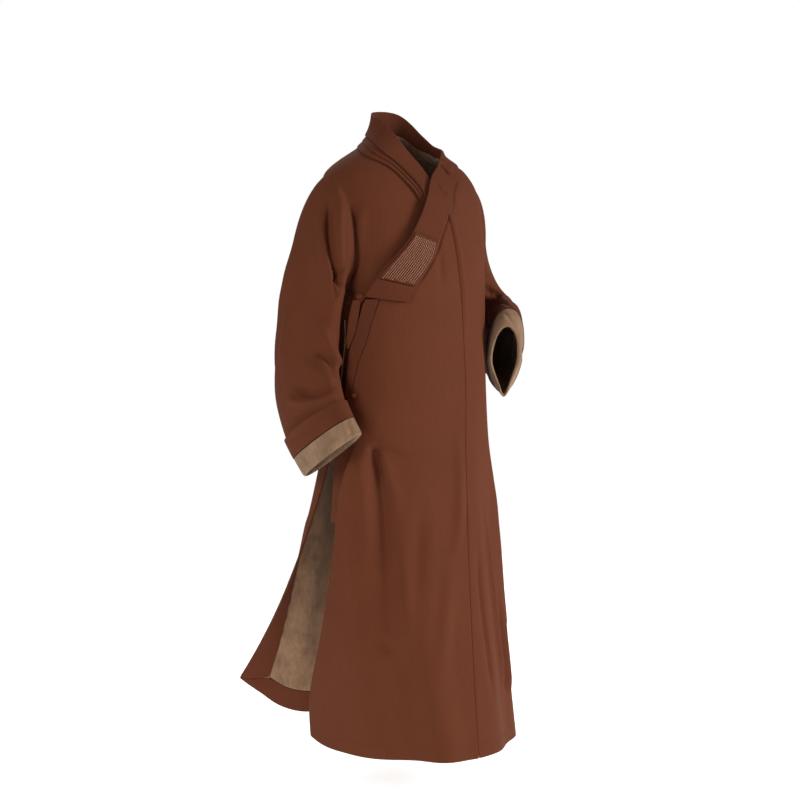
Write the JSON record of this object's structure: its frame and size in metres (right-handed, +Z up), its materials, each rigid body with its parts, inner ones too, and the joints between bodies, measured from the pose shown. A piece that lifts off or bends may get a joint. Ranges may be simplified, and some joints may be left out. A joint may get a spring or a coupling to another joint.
{
  "type": "monk robe",
  "caption": "Long crossed-collar winter robe, lapped to the wearer's right, with wide sleeves, turned-back plush-lined cuffs and an open side slit, in the hollow shape of a walking wearer.",
  "frame": {"origin": "where the shoulders carry the robe, in the middle of the neck, level with the foot of the collar", "axes": "+Z up, the wearer faces -Y, the wearer's left is +X"},
  "size_m": [0.6095, 0.6232, 1.4369],
  "materials": {
    "cloth": "smooth brown cotton-like cloth, slight sheen",
    "plush": "short tan plush lining, nap brushed in patches",
    "cord": "thin pale tan cord"
  },
  "bodies": {
    "root": {"body_left": "cloth", "body_right": "cloth", "lap_front": "cloth", "collar_band": "cloth", "collar_layer_middle": "cloth", "collar_layer_lower": "cloth", "stitched_patch": "cloth", "end_patch": "cloth", "sleeve_right": "cloth", "sleeve_left": "cloth", "cuff_facing_right": "cloth", "cuff_facing_left": "cloth", "cuff_plush_right": "plush", "cuff_plush_left": "plush", "slit_facing": "cloth", "hem_facing": "cloth", "back_plush": "plush", "edge_fold": "cloth", "side_tie": "cloth", "side_cord": "cord", "knot_upper": "cloth", "knot_lower": "cloth"}
  },
  "joints": []
}
